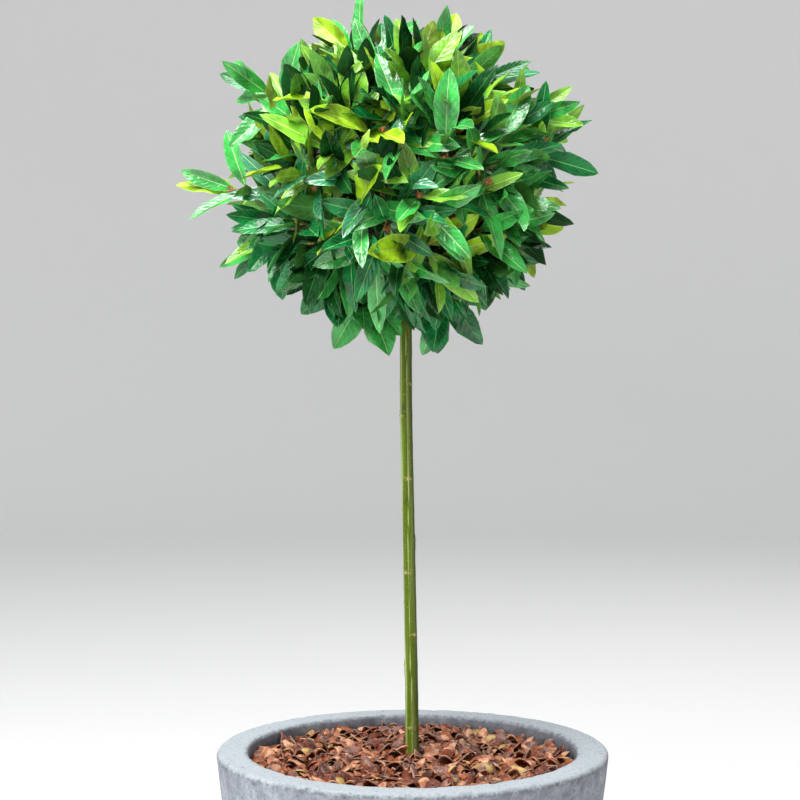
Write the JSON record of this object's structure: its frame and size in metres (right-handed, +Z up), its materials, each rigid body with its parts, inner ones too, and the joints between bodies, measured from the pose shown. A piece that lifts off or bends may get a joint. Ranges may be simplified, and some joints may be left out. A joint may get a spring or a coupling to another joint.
{
  "type": "standard bay tree in a round planter",
  "caption": "Clipped ball of glossy bay leaves on a slim clear green stem, planted in a round tapered concrete pot topped with cocoa-shell mulch.",
  "frame": {"origin": "centre of the pot's flat underside", "axes": "+Z up along the stem, +X to the right and -Y to the front as the plant is usually seen"},
  "size_m": [0.4385, 0.4, 1.1139],
  "materials": {
    "concrete": "pale bluish-grey cast concrete, matt, with pinholes and a lighter rim",
    "compost": "dark moist compost, matt",
    "shell": "cocoa-shell pieces, reddish brown to tan, slightly glossy",
    "bark": "smooth green bark with old leaf scars and pale streaks",
    "foliage": "glossy leaves, deep green with lime-green young tips"
  },
  "bodies": {
    "root": {"pot": "concrete", "compost": "compost", "shell_mulch": "shell", "trunk": "bark", "bough_upper_back_right": "bark", "bough_upper_back_left": "bark", "bough_upper_front_left": "bark", "bough_upper_front_right": "bark", "bough_lower_right": "bark", "bough_lower_back": "bark", "bough_lower_left": "bark", "bough_lower_front": "bark", "foliage_top": "foliage", "foliage_upper_back_right": "foliage", "foliage_upper_back_left": "foliage", "foliage_upper_front_left": "foliage", "foliage_upper_front_right": "foliage", "foliage_lower_right": "foliage", "foliage_lower_back": "foliage", "foliage_lower_left": "foliage", "foliage_lower_front": "foliage"}
  },
  "joints": []
}
